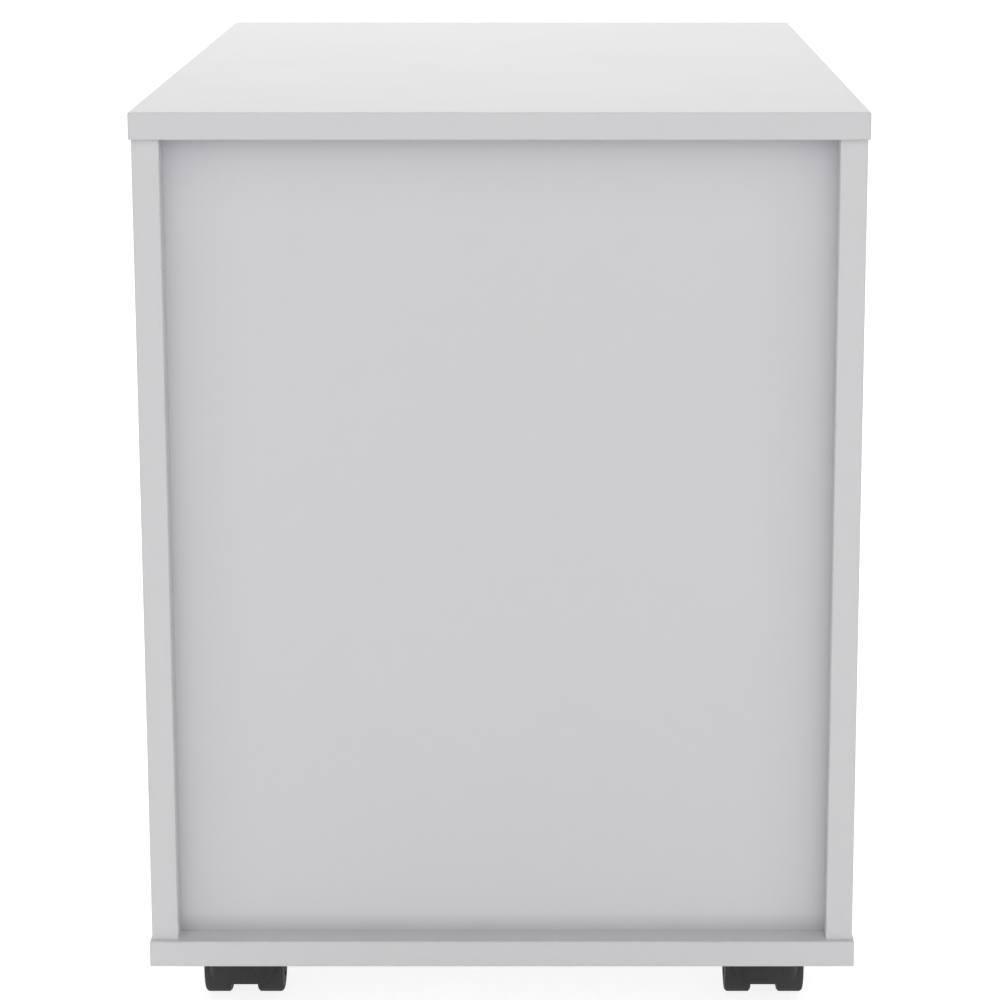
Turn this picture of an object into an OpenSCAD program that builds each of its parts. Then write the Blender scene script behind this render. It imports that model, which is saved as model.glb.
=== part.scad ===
// Rolling pedestal cabinet: a white board carcass on four twin-wheel casters, holding a lockable box
// drawer above a file drawer, both on roller runners.
// Sizes are in millimetres. +Z is up and the front faces -Y. The origin is on the floor, under the
// middle of the bounding box. Left and right are those of a person who faces the front.

/* [Carcass] */
// Width across the outer faces of the two side panels
carcass_width = 400; // [360:1:600]
// Depth of the top and bottom panels from front to rear
top_depth = 600; // [540:1:750]
// Height of the top surface above the floor
total_height = 540; // [500:1:760]
// Thickness of the top panel
top_thickness = 15; // [13:0.5:25]
// Thickness of the bottom panel
bottom_thickness = 15; // [13:0.5:25]
// Thickness of the side panels
side_thickness = 15; // [14:0.5:25]
// How far the top and bottom panels stand out past the side panels
side_overhang = 1; // [0:0.1:10]
// How far the top and bottom panels stand out past the rear edges and the drawer fronts
end_overhang = 4; // [0:0.1:15]
// Bevel on the banded edges of the boards
arris = 0.5; // [0.1:0.1:1.5]
// Thickness of the back panel
back_thickness = 3; // [2:0.5:6]
// Distance from the rear edges of the side panels in to the back panel
back_recess = 13.5; // [5:0.5:40]
// Depth of the grooves that hold the back panel
back_groove = 6; // [3:0.5:8]

/* [Drawers] */
// Height of the upper drawer front; the lower front takes the rest
upper_front_height = 140; // [120:1:200]
// Thickness of the drawer fronts
front_thickness = 15; // [13:0.5:22]
// Gap above, between and below the drawer fronts
front_gap = 3; // [1.5:0.1:6]
// Gap between a closed drawer front and the edges of the side panels
front_standoff = 1.5; // [0.5:0.1:5]
// Thickness of the drawer sides
box_side_thickness = 15; // [14:0.5:20]
// Thickness of the drawer backs
box_back_thickness = 15; // [12:0.5:20]
// Thickness of the drawer bottoms
box_bottom_thickness = 3; // [2:0.5:6]
// Height of a drawer bottom above the lower edges of the drawer sides
box_bottom_rise = 8; // [5:0.5:15]
// Depth of the grooves that hold a drawer bottom
box_groove = 6; // [3:0.5:8]
// How far the sides of the upper drawer end below the top of its front
upper_side_setdown = 34; // [30:1:60]
// How far the sides of the lower drawer end below the top of its front
lower_side_setdown = 50; // [20:1:120]
// Free space behind a closed drawer
rear_clearance = 10.5; // [3:0.5:80]
// How far a drawer slides out before its rear rollers meet the stops
drawer_travel = 410; // [200:1:440]

/* [Runners] */
// Gap between a side panel and a drawer side
runner_space = 12.5; // [12.5:0.1:16]
// Height of a cabinet runner
runner_height = 26; // [25:0.5:40]
// Thickness of the runner sheet
runner_sheet = 1; // [0.8:0.1:1.2]
// Height of a cabinet runner above the lower edge of its drawer front
runner_rise = 8; // [2:0.5:20]
// Height of a drawer runner above the underside of the cabinet runner
runner_lift = 2.5; // [2:0.1:4]
// Width of the flange that carries a drawer side
runner_shelf = 13; // [10:0.5:14]
// Height of the guide lip on a cabinet runner
runner_lip = 3; // [2:0.1:6]
// Width of the open side of a cabinet runner that its flanges leave
runner_mouth = 1.8; // [1.5:0.1:2.4]
// Diameter of a roller
roller_diameter = 20; // [16:0.5:21]
// Width of a roller
roller_width = 6; // [4:0.1:6.2]
// Diameter of the pin in a roller
roller_pin = 5; // [4:0.1:7]
// Distance of a roller axis from the end of its runner
roller_setback = 14; // [12:0.5:25]
// Length at the front of a cabinet runner that has no upper flange
runner_opening = 45; // [30:1:80]
// Height of the stop that a rear roller meets
stop_height = 3; // [1:0.1:6]
// Distance of a runner screw from the end of its runner
runner_screw_setback = 70; // [40:1:140]

/* [Runner details] */
// How far a roller sits off the middle of the runner gap, towards the side panel
roller_offset = 0.25; // [0:0.05:0.5]
// Gap between a roller and the shoulders of its pin
roller_shoulder_gap = 0.15; // [0.05:0.05:0.3]
// Diameter of the shoulders of a roller pin
roller_shoulder = 8; // [7.5:0.1:10]
// Thickness of the head on a roller pin
pin_head_thickness = 0.4; // [0.3:0.1:0.6]
// How far a cabinet runner starts behind the front edge of its side panel
runner_setback = 1; // [0:0.5:5]
// How far a cabinet runner runs on behind a closed drawer
runner_overrun = 1.5; // [0.5:0.5:6]
// How far a drawer runner starts behind its drawer front
drawer_runner_setback = 2; // [1:0.5:6]
// Gap between the running flange of a drawer runner and its own roller
flange_gap = 6; // [2:0.5:12]
// Gap between the head of a runner screw and the shoulder of the roller pin
runner_screw_gap = 0.3; // [0.2:0.1:2]

/* [Handles] */
// Distance between the two handle screws
handle_pitch = 128; // [64:32:224]
// Length of the handle bar
handle_length = 160; // [140:1:280]
// Diameter of the handle bar
handle_bar = 10; // [8:0.5:14]
// Diameter of the handle posts
handle_post = 8; // [7:0.5:12]
// Distance that a handle stands out from its drawer front
handle_projection = 30; // [24:0.5:45]
// Distance of a handle below the top of its drawer front
handle_drop = 70; // [60:1:90]
// Bevel at the ends of the handle bar
handle_bevel = 1; // [0.2:0.1:2]

/* [Lock] */
// Distance of the lock axis below the top of the upper drawer front
lock_drop = 27; // [25:0.5:32]
// Diameter of the lock barrel
lock_barrel = 19; // [16:0.5:20]
// Diameter of the lock bezel
lock_bezel = 24; // [21:0.5:28]
// Thickness of the lock bezel
lock_bezel_thickness = 2.5; // [1:0.1:4]
// Diameter of the plug that the key turns
lock_plug_diameter = 12; // [10:0.5:13]
// Distance that the barrel stands out behind the drawer front
lock_tail = 6.5; // [6:0.1:12]
// Reach of the cam from the lock axis
cam_reach = 23; // [20:0.5:24]
// Width of the cam
cam_width = 14; // [12:0.5:16]
// Thickness of the cam
cam_sheet = 2; // [1.5:0.1:3]
// Width of the keyway
keyway_width = 2.2; // [1.5:0.1:3]
// Height of the keyway
keyway_height = 7; // [5:0.5:8]
// Depth of the keyway
keyway_depth = 12; // [6:0.5:14]
// Distance that the strike hangs below the top panel
strike_hang = 13; // [10:0.5:14]
// Width of the strike
strike_width = 44; // [36:1:70]
// Depth of the flange that the strike is screwed up by
strike_flange = 22; // [18:0.5:30]
// Thickness of the strike
strike_sheet = 1.5; // [1:0.1:2]

/* [Lock details] */
// How far the plug sits behind the face of the bezel
plug_recess = 0.3; // [0:0.1:1]
// Gap between the end of the barrel and the cam
cam_gap = 0.2; // [0.1:0.1:1]
// Diameter of the screw that holds the cam
cam_screw_shank = 3; // [2.5:0.1:4]
// Diameter of the head of the cam screw
cam_screw_head = 9; // [7:0.5:11]
// Height of the head of the cam screw
cam_screw_head_height = 2; // [1.5:0.1:3]
// Length of the cam screw under its head
cam_screw_length = 8; // [6:0.5:10]
// How far the strike sits behind the front edges of the side panels
strike_setback = 1; // [0.5:0.5:3]
// Distance of the strike screws from the rear edge of the flange
strike_screw_margin = 7; // [5:0.5:10]
// Width of the lock nut across its corners
lock_nut_across = 27; // [24:0.5:30]
// Thickness of the lock nut
lock_nut_thickness = 4; // [3:0.5:6]

/* [File rails] */
// Height of the rail that folders hang from, above the drawer side
rail_height = 9; // [6:0.5:14]
// Depth of the skirts that hold a rail on its drawer side
rail_skirt = 10; // [6:0.5:16]
// Wall thickness of a rail
rail_wall = 1.6; // [1:0.1:2.5]
// Gap between the ends of a rail and the drawer's front and back
rail_gap = 1; // [0.5:0.1:3]

/* [Casters] */
// Height of the bottom panel above the floor
caster_height = 51; // [49:0.5:70]
// Distance of a swivel axis from the outer face of the side panel
caster_inset_side = 44.5; // [40:0.5:80]
// Distance of a swivel axis from the front or rear edge of the bottom panel
caster_inset_end = 72; // [45:0.5:120]
// Distance of the wheel axle from the swivel axis
caster_trail = 20; // [18:0.5:24]
// Diameter of a wheel
wheel_diameter = 40; // [36:0.5:41]
// Width of one wheel
wheel_width = 16.6; // [14:0.2:20]
// Gap between the two wheels
wheel_gap = 16; // [12:0.5:18]
// Radius of the outer shoulder of a wheel
wheel_shoulder = 2.2; // [1:0.1:5]
// How far the outer face of a wheel bulges
wheel_dome = 1.2; // [0.5:0.1:2]
// Diameter of the wheel axle
axle_diameter = 6; // [4:0.5:7]
// Depth of the axle hole in a wheel
wheel_bore_depth = 11.5; // [8:0.5:12]
// Width of the hood
hood_width = 37.6; // [34:0.2:44]
// Distance of the front of the hood from the swivel axis
hood_front = 17.5; // [16:0.5:20]
// Height of the lower rim of the hood above the floor
hood_rim = 18; // [15:0.5:24]
// Radius of the upright corners of the hood
hood_corner = 11; // [6:0.5:14]
// Radius of the lower corners of the hood, seen from the front
skirt_corner = 7; // [3:0.5:10]
// Wall thickness of the hood
hood_wall = 2.4; // [1.8:0.1:3]
// Diameter of the kingpin
kingpin_diameter = 8; // [6:0.5:9]
// Side of the square caster plate
plate_size = 42; // [40:0.5:54]
// Thickness of the caster plate
plate_thickness = 2; // [1.5:0.1:3]
// Distance between the screws of a caster plate
plate_pitch = 32; // [31:0.5:40]
// Diameter of the swivel race under a caster plate
race_diameter = 30; // [26:0.5:34]

/* [Caster details] */
// Gap between a wheel and the web of the hood
web_play = 1.2; // [0.5:0.1:3]
// Gap between the tread of a wheel and the hood over it
arch_play = 1.3; // [0.5:0.1:3]
// Wall of the hood around the axle
boss_wall = 4; // [2:0.5:6]
// Height of the swivel race under a caster plate
race_height = 3.2; // [2:0.1:5]
// Thickness of the crown of the hood under the swivel race
crown_thickness = 7; // [5:0.5:9]
// Radius of the upper front edge of the hood
crown_radius = 9; // [4:0.5:12]
// How far the flat crown reaches from the swivel axis towards the axle
crown_reach = 13; // [10:0.5:16]
// Angle around the axle at which the fender begins, from level on the side of the swivel axis
fender_start = 80; // [70:1:90]
// Angle around the axle at which the fender ends, measured likewise
fender_end = 158; // [140:1:170]
// Depth of the lower rim of the hood from front to rear
skirt_depth = 6; // [4:0.5:10]
// How far the pockets in the hood end below its crown
pocket_roof = 2; // [1:0.5:4]
// Corner radius of a caster plate
plate_corner = 4; // [1:0.5:6]
// Height of the kingpin head above the foot of the swivel race
pin_seat = 2.1; // [1.5:0.1:3]
// Diameter of the kingpin head
pin_head = 12.8; // [11:0.1:15]
// Height of the kingpin head
pin_head_height = 2; // [1.5:0.1:3]
// Diameter of the kingpin flange under the crown
pin_flange = 11.2; // [10:0.1:13]
// Thickness of the kingpin flange
pin_flange_thickness = 1.6; // [1:0.1:2.5]
// Gap around the kingpin flange
pin_flange_room = 1; // [0.5:0.1:2]
// Wall of a wheel around the axle
hub_wall = 3; // [2:0.5:5]
// Wall of a wheel under its tread
tread_wall = 4; // [2.5:0.5:6]
// Inner radius of the ring in the outer face of a wheel
ring_radius = 8.4; // [6:0.1:12]
// Width of that ring
ring_width = 2.4; // [1:0.1:4]
// Depth of that ring
ring_depth = 0.6; // [0.3:0.1:1]
// Bevel at the inner edge of the tread
wheel_edge = 1.2; // [0.5:0.1:2]

/* [Fasteners] */
// Distance of a cam disc from the end of its board
cam_distance = 24; // [20:0.5:34]
// Diameter of a cam disc
cam_disc_diameter = 15; // [12:0.5:18]
// Distance of a carcass fastener from the front or rear edge of its side panel
joint_setback = 60; // [40:1:120]
// Distance of a dowel from the cam beside it
dowel_pitch = 32; // [24:1:64]
// Diameter of a dowel
dowel_diameter = 8; // [6:0.5:9]
// Length of a dowel
dowel_length = 30; // [24:1:40]
// Depth that bolts and dowels go into the face of a board
face_bite = 10; // [8:0.5:11]
// Length of a joint screw
joint_screw_length = 50; // [40:1:60]
// Length of a wood screw under its head
wood_screw_length = 12; // [10:0.5:13]
// Depth that a handle screw goes into its post
handle_screw_bite = 9; // [6:0.5:12]
// Distance of the upper drawer fasteners from the tops of the drawer sides
box_cam_drop = 20; // [18:0.5:24]
// Distance of the lower drawer fasteners from the foot of the drawer sides
box_cam_rise = 32; // [28:0.5:40]

/* [Fastener details] */
// How far a cam disc reaches past the middle of its board
cam_disc_tail = 4.5; // [3:0.5:6]
// Diameter of the thread of a cam bolt
bolt_thread = 5; // [4:0.5:7]
// Diameter of the shank of a cam bolt
bolt_shank = 5.5; // [4.5:0.1:6.5]
// Diameter of the head of a cam bolt
bolt_head = 6.6; // [6:0.1:7.2]
// Length of the head of a cam bolt
bolt_head_length = 5; // [4:0.5:6]
// Diameter of the hole that a cam bolt runs through
bolt_passage = 7.4; // [7:0.1:9]
// Diameter of the head of a joint screw
joint_screw_head = 10; // [8:0.5:12]
// Height of the head of a joint screw
joint_screw_head_height = 3.2; // [2:0.1:5]
// Diameter of the shank of a joint screw
joint_screw_shank = 6; // [5:0.5:8]
// Diameter of the head of a wood screw
wood_screw_head = 7; // [6:0.1:8]
// Height of the head of a wood screw
wood_screw_head_height = 1.5; // [1:0.1:2]
// Diameter of the shank of a wood screw
wood_screw_shank = 3.5; // [3:0.1:4.5]
// Diameter of the head of a handle screw
handle_screw_head = 8; // [6:0.5:9]
// Height of the head of a handle screw
handle_screw_head_height = 2.4; // [1.5:0.1:3]
// Diameter of the shank of a handle screw
handle_screw_shank = 4; // [3:0.5:5]
// Length of a screwdriver slot as a share of the screw head
drive_length = 0.6; // [0.4:0.05:0.8]
// Width of a screwdriver slot as a share of the screw head
drive_width = 0.14; // [0.1:0.01:0.2]
// Depth of a screwdriver slot
drive_depth = 1; // [0.5:0.1:1.2]

/* [Clearances] */
// Gap around a fastener in its hole
fastener_play = 0.1; // [0.05:0.01:0.2]
// Gap around a board in its groove
groove_play = 0.2; // [0.05:0.05:0.5]
// Gap of a running fit
slip_play = 0.05; // [0.01:0.01:0.1]
// Gap of a pressed fit
press_play = 0.02; // [0.01:0.01:0.03]
// Gap between pieces that turn or slide past each other
swivel_play = 0.3; // [0.2:0.05:0.5]

/* [Hidden] */
$fn = 64;

// Which of two things a module draws
UPPER = 0;
LOWER = 1;
LEFT = -1;
RIGHT = 1;
REAR = 1;
FRONT = -1;

// How far a cut runs past the solid that it cuts
over = 1;

// Colours
white_board = [0.93, 0.93, 0.93];
white_sheet = [0.90, 0.90, 0.90];
runner_white = [0.86, 0.87, 0.87];
nylon_white = [0.80, 0.80, 0.77];
zinc = [0.66, 0.67, 0.69];
nickel = [0.74, 0.73, 0.71];
beech = [0.80, 0.65, 0.45];
black_plastic = [0.16, 0.16, 0.17];
wheel_black = [0.20, 0.20, 0.21];

// Places across the width
half_carcass = carcass_width / 2;
half_inside = half_carcass - side_thickness;
half_top = half_carcass + side_overhang;
half_box = half_inside - runner_space;
half_box_inside = half_box - box_side_thickness;
side_middle = half_carcass - side_thickness / 2;
box_side_middle = half_box - box_side_thickness / 2;

// Places from front to rear
y_rear = (top_depth - end_overhang + handle_projection) / 2;
y_top_front = y_rear - top_depth;
y_face = y_top_front + end_overhang;
y_box = y_face + front_thickness;
y_side_front = y_box + front_standoff;
y_side_rear = y_rear - end_overhang;
y_back = y_side_rear - back_recess;
y_back_inner = y_back - back_thickness;
box_length = y_back_inner - rear_clearance - y_box;
y_box_rear = y_box + box_length;
y_box_back = y_box_rear - box_back_thickness;
side_depth = y_side_rear - y_side_front;
joint_ys = [y_side_front + joint_setback, y_side_rear - joint_setback];
dowel_ys = [joint_ys[0] + dowel_pitch, joint_ys[1] - dowel_pitch];

// Places above the floor
z_bottom = caster_height;
z_inside = z_bottom + bottom_thickness;
z_top = total_height - top_thickness;
front_tops = [z_top - front_gap, z_top - 2 * front_gap - upper_front_height];
front_feet = [z_top - front_gap - upper_front_height, z_inside + front_gap];
runner_feet = [front_feet[UPPER] + runner_rise, front_feet[LOWER] + runner_rise];
box_lift = runner_lift + runner_sheet;
box_feet = [runner_feet[UPPER] + box_lift, runner_feet[LOWER] + box_lift];
box_tops = [front_tops[UPPER] - upper_side_setdown, front_tops[LOWER] - lower_side_setdown];
sheet_feet = [box_feet[UPPER] + box_bottom_rise, box_feet[LOWER] + box_bottom_rise];
handle_zs = [front_tops[UPPER] - handle_drop, front_tops[LOWER] - handle_drop];
lock_z = front_tops[UPPER] - lock_drop;

// Runner places, measured from the side panel towards the drawer
channel_depth = runner_space - runner_mouth;
drawer_web = runner_space - runner_sheet;
roller_near = (runner_space - roller_width) / 2 - roller_offset;
roller_far = roller_near + roller_width;
roller_radius = roller_diameter / 2;
roller_rise = runner_sheet + slip_play + roller_radius;
flange_rise = roller_rise + roller_radius + slip_play;
runner_screw_rise = roller_rise + roller_shoulder / 2 + wood_screw_head / 2 + runner_screw_gap;
runner_front = y_side_front + runner_setback;
runner_rear = y_box_rear + runner_overrun;
front_roller_y = runner_front + roller_setback;
drawer_runner_front = y_box + drawer_runner_setback;
rear_roller_y = y_box_rear - roller_setback;
stop_reach = sqrt(pow(roller_radius, 2) - pow(roller_radius - stop_height, 2));
stop_y = rear_roller_y - drawer_travel - stop_reach - swivel_play;
runner_screw_ys = [runner_front + runner_screw_setback, runner_rear - runner_screw_setback];

// Caster places, with the swivel axis at x = y = 0 and the axle towards the front
wheel_radius = wheel_diameter / 2;
half_gap = wheel_gap / 2;
web_half = half_gap - web_play;
arch_radius = wheel_radius + arch_play;
fender_radius = arch_radius + hood_wall;
axle_boss = axle_diameter / 2 + boss_wall;
race_foot = caster_height - plate_thickness - race_height;
hood_top = race_foot - swivel_play;
crown_foot = hood_top - crown_thickness;
pin_flange_foot = crown_foot - swivel_play - pin_flange_thickness;
pin_head_foot = race_foot + pin_seat;
wheel_shoulder_y = wheel_width - wheel_dome - wheel_shoulder;
caster_x = half_carcass - caster_inset_side;
caster_ys = [y_top_front + caster_inset_end, y_rear - caster_inset_end];

// Lock places
y_lock_front = y_face - lock_bezel_thickness;
y_lock_tail = y_box + lock_tail;
y_cam = y_lock_tail + cam_gap;
y_strike = y_box + front_standoff + strike_setback;
cam_square = lock_plug_diameter / 2;
strike_screw_pitch = strike_width / 2;
strike_screw_y = y_strike + strike_flange - strike_screw_margin;

// Helpers

// Draws children that are laid out for the left side on either side.
module on_side(side) {
  mirror([side == RIGHT ? 1 : 0, 0, 0]) children();
}

// A rectangle with its four corners cut by the arris.
module eased_rect(a, b) {
  c = arris;
  polygon([[c, 0], [a - c, 0], [a, c], [a, b - c], [a - c, b], [c, b], [0, b - c], [0, c]]);
}

// Extrusions along X and Y of a section drawn in the (y, z) or the (x, z) plane.
module along_x(length) {
  rotate([90, 0, 90]) linear_extrude(length) children();
}
module along_y(length) {
  translate([0, length, 0]) rotate([90, 0, 0]) linear_extrude(length) children();
}

// A board whose twelve edges are all eased.
module eased_board(size) {
  intersection() {
    linear_extrude(size.z) eased_rect(size.x, size.y);
    along_y(size.y) eased_rect(size.x, size.z);
    along_x(size.x) eased_rect(size.y, size.z);
  }
}

// Points of an arc about (u, v).
function arc(u, v, r, from, to, steps) =
  [for (i = [0 : steps]) let (a = from + (to - from) * i / steps) [u + r * cos(a), v + r * sin(a)]];

// A cross for a screwdriver, cut into a head whose face is at z = 0.
module cross_drive(head) {
  for (turn = [0, 90])
    rotate(turn) translate([-drive_length * head / 2, -drive_width * head / 2, 0])
      translate([0, 0, -over]) cube([drive_length * head, drive_width * head, over + drive_depth]);
}

// Fasteners

// The thread is below z = 0 in the face of one board, and the shank runs up to the cam disc.
module cam_bolt() {
  translate([0, 0, -face_bite]) cylinder(d = bolt_thread, h = face_bite);
  cylinder(d = bolt_shank, h = cam_distance);
  translate([0, 0, cam_distance - bolt_head_length / 2]) cylinder(d = bolt_head, h = bolt_head_length);
}
module cam_bolt_thread_hole() {
  translate([0, 0, -face_bite - fastener_play])
    cylinder(d = bolt_thread + 2 * fastener_play, h = face_bite + fastener_play + over);
}
module cam_bolt_passage() {
  translate([0, 0, -over]) cylinder(d = bolt_passage, h = cam_distance + over);
}

// The face is at z = 0, the disc lies below it, and the bolt comes in from -X.
module cam_disc(thickness) {
  depth = thickness / 2 + cam_disc_tail;
  difference() {
    translate([0, 0, -depth]) cylinder(d = cam_disc_diameter, h = depth);
    translate([0, 0, -thickness / 2]) rotate([0, -90, 0]) cylinder(d = bolt_passage, h = cam_disc_diameter);
    translate([0, 0, -thickness / 2]) rotate([0, 90, 0]) cylinder(d = bolt_passage, h = bolt_head_length);
    rotate([180, 0, 0]) cross_drive(cam_disc_diameter);
  }
}
module cam_disc_hole(thickness) {
  depth = thickness / 2 + cam_disc_tail + fastener_play;
  translate([0, 0, -depth]) cylinder(d = cam_disc_diameter + 2 * fastener_play, h = depth + over);
}

// The face of the head is at z = 0 and the screw points to +Z.
module joint_screw() {
  difference() {
    union() {
      cylinder(d = joint_screw_head, h = joint_screw_head_height);
      cylinder(d = joint_screw_shank, h = joint_screw_length);
    }
    cross_drive(joint_screw_head);
  }
}
module joint_screw_hole() {
  translate([0, 0, -over])
    cylinder(d = joint_screw_head + 2 * fastener_play, h = joint_screw_head_height + fastener_play + over);
  cylinder(d = joint_screw_shank + 2 * fastener_play, h = joint_screw_length + fastener_play);
}

// The underside of the head is at z = 0 and the screw points to +Z.
module wood_screw() {
  difference() {
    union() {
      translate([0, 0, -wood_screw_head_height]) cylinder(d = wood_screw_head, h = wood_screw_head_height);
      cylinder(d = wood_screw_shank, h = wood_screw_length);
    }
    translate([0, 0, -wood_screw_head_height]) cross_drive(wood_screw_head);
  }
}
module wood_screw_hole() {
  translate([0, 0, -over])
    cylinder(d = wood_screw_shank + 2 * fastener_play, h = wood_screw_length + fastener_play + over);
}

module handle_screw() {
  length = front_thickness + handle_screw_bite;
  difference() {
    union() {
      translate([0, 0, -handle_screw_head_height])
        cylinder(d = handle_screw_head, h = handle_screw_head_height);
      cylinder(d = handle_screw_shank, h = length);
    }
    translate([0, 0, -handle_screw_head_height]) cross_drive(handle_screw_head);
  }
}
module handle_screw_hole() {
  length = front_thickness + handle_screw_bite + fastener_play;
  translate([0, 0, -over]) cylinder(d = handle_screw_shank + 2 * fastener_play, h = length + over);
}

// Fastener places

// At the head of each side panel, looking down from the underside of the top panel.
module at_carcass_cams() {
  for (side = [LEFT, RIGHT], y = joint_ys)
    on_side(side) translate([-side_middle, y, z_top]) rotate([180, 0, 0]) children();
}
module at_carcass_discs(side) {
  for (y = joint_ys)
    on_side(side) translate([-half_inside, y, z_top - cam_distance]) rotate([0, 90, 0]) children();
}
module at_dowels() {
  for (side = [LEFT, RIGHT], y = dowel_ys)
    on_side(side) translate([-side_middle, y, z_top + face_bite - dowel_length]) children();
}
module at_joint_screws() {
  for (side = [LEFT, RIGHT], y = concat(joint_ys, [(y_side_front + y_side_rear) / 2]))
    on_side(side) translate([-side_middle, y, z_bottom]) children();
}
module at_cabinet_runner_screws(side) {
  for (foot = runner_feet, y = runner_screw_ys)
    on_side(side) translate([-half_inside + runner_sheet, y, foot + runner_screw_rise])
      rotate([0, -90, 0]) children();
}
module at_strike_screws() {
  for (side = [-0.5, 0.5])
    translate([side * strike_screw_pitch, strike_screw_y, z_top - strike_sheet]) children();
}
module at_casters() {
  for (side = [LEFT, RIGHT], y = caster_ys)
    translate([side * caster_x, y, 0]) children();
}
module at_caster_screws() {
  at_casters()
    for (x = [-0.5, 0.5], y = [-0.5, 0.5])
      translate([x * plate_pitch, y * plate_pitch, caster_height - plate_thickness]) children();
}
module at_handle_screws(which) {
  for (side = [-0.5, 0.5])
    translate([side * handle_pitch, y_box, handle_zs[which]]) rotate([90, 0, 0]) children();
}
function box_rows(which) = [box_feet[which] + box_cam_rise, box_tops[which] - box_cam_drop];
module at_box_cams(which) {
  for (side = [LEFT, RIGHT], z = box_rows(which))
    on_side(side) translate([-box_side_middle, y_box, z]) rotate([-90, 0, 0]) children();
}
module at_box_discs(which, side) {
  for (z = box_rows(which))
    on_side(side) translate([-half_box_inside, y_box + cam_distance, z])
      rotate([90, 0, 0]) rotate([0, 90, 0]) children();
}
module at_box_screws(which) {
  for (side = [LEFT, RIGHT], z = box_rows(which))
    on_side(side) translate([-half_box, (y_box_back + y_box_rear) / 2, z]) rotate([0, 90, 0]) children();
}
module at_drawer_runner_screws(which) {
  for (side = [LEFT, RIGHT], y = runner_screw_ys)
    on_side(side) translate([-box_side_middle, y, runner_feet[which] + runner_lift]) children();
}
module at_sheet_screws(which) {
  for (side = [-0.5, 0.5])
    translate([side * half_box_inside, (y_box_back + y_box_rear) / 2, sheet_feet[which]]) children();
}

// Carcass

module back_slot() {
  translate([-half_inside - back_groove, y_back_inner - groove_play, z_inside - back_groove])
    cube([2 * (half_inside + back_groove), back_thickness + 2 * groove_play,
          z_top - z_inside + 2 * back_groove]);
}

module top_panel() {
  color(white_board)
    difference() {
      translate([-half_top, y_top_front, z_top]) eased_board([2 * half_top, top_depth, top_thickness]);
      back_slot();
      at_carcass_cams() cam_bolt_thread_hole();
      at_dowels() dowel_hole();
      at_strike_screws() wood_screw_hole();
    }
}

module bottom_panel() {
  color(white_board)
    difference() {
      translate([-half_top, y_top_front, z_bottom])
        eased_board([2 * half_top, top_depth, bottom_thickness]);
      back_slot();
      at_joint_screws() joint_screw_hole();
      at_caster_screws() wood_screw_hole();
    }
}

module side_panel(side) {
  color(white_board)
    difference() {
      on_side(side) translate([-half_carcass, y_side_front, z_inside])
        linear_extrude(z_top - z_inside) eased_rect(side_thickness, side_depth);
      back_slot();
      at_carcass_cams() cam_bolt_passage();
      at_carcass_discs(side) cam_disc_hole(side_thickness);
      at_dowels() dowel_hole();
      at_joint_screws() joint_screw_hole();
      at_cabinet_runner_screws(side) wood_screw_hole();
    }
}
module left_side_panel() { side_panel(LEFT); }
module right_side_panel() { side_panel(RIGHT); }

module back_panel() {
  reach = back_groove - groove_play;
  color(white_sheet)
    translate([-half_inside - reach, y_back_inner, z_inside - reach])
      cube([2 * (half_inside + reach), back_thickness, z_top - z_inside + 2 * reach]);
}

module cam_bolts() {
  color(zinc) at_carcass_cams() cam_bolt();
}
module cam_discs() {
  color(zinc) {
    at_carcass_discs(LEFT) cam_disc(side_thickness);
    at_carcass_discs(RIGHT) cam_disc(side_thickness);
  }
}

module wood_dowels() {
  color(beech) at_dowels() cylinder(d = dowel_diameter, h = dowel_length);
}
module dowel_hole() {
  translate([0, 0, -fastener_play])
    cylinder(d = dowel_diameter + 2 * fastener_play, h = dowel_length + 2 * fastener_play);
}

module joint_screws() {
  color(zinc) at_joint_screws() joint_screw();
}

module wood_screws() {
  color(zinc) {
    at_cabinet_runner_screws(LEFT) wood_screw();
    at_cabinet_runner_screws(RIGHT) wood_screw();
    at_strike_screws() wood_screw();
    at_caster_screws() wood_screw();
  }
}

module lock_strike() {
  color(zinc)
    difference() {
      union() {
        translate([-strike_width / 2, y_strike, z_top - strike_sheet])
          cube([strike_width, strike_flange, strike_sheet]);
        translate([-strike_width / 2, y_strike, z_top - strike_hang])
          cube([strike_width, strike_sheet, strike_hang]);
      }
      at_strike_screws() wood_screw_hole();
    }
}

// Runners

// A channel on the side panel, with a pin at its front end and a stop for the rear roller.
module cabinet_runner(which, side) {
  length = runner_rear - runner_front;
  foot = runner_feet[which];
  color(runner_white)
    difference() {
      on_side(side) translate([-half_inside, runner_front, foot]) {
        cube([runner_sheet, length, runner_height]);
        cube([channel_depth, length, runner_sheet]);
        translate([channel_depth - runner_sheet, 0, 0]) cube([runner_sheet, length, runner_lip]);
        translate([0, runner_opening, runner_height - runner_sheet])
          cube([channel_depth, length - runner_opening, runner_sheet]);
        translate([0, stop_y - runner_front - runner_sheet, 0])
          cube([channel_depth, runner_sheet, runner_sheet + stop_height]);
        translate([0, roller_setback, roller_rise]) rotate([0, 90, 0]) roller_stud(roller_near);
      }
      at_cabinet_runner_screws(side) translate([0, 0, -over]) wood_screw_hole();
    }
}

// A pin that stands out from z = 0, with a shoulder behind the roller and a head in front of it.
module roller_stud(seat) {
  cylinder(d = roller_shoulder, h = seat - roller_shoulder_gap);
  cylinder(d = roller_pin, h = seat + roller_width + roller_shoulder_gap + pin_head_thickness);
  translate([0, 0, seat + roller_width + roller_shoulder_gap])
    cylinder(d = roller_shoulder, h = pin_head_thickness);
}

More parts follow.
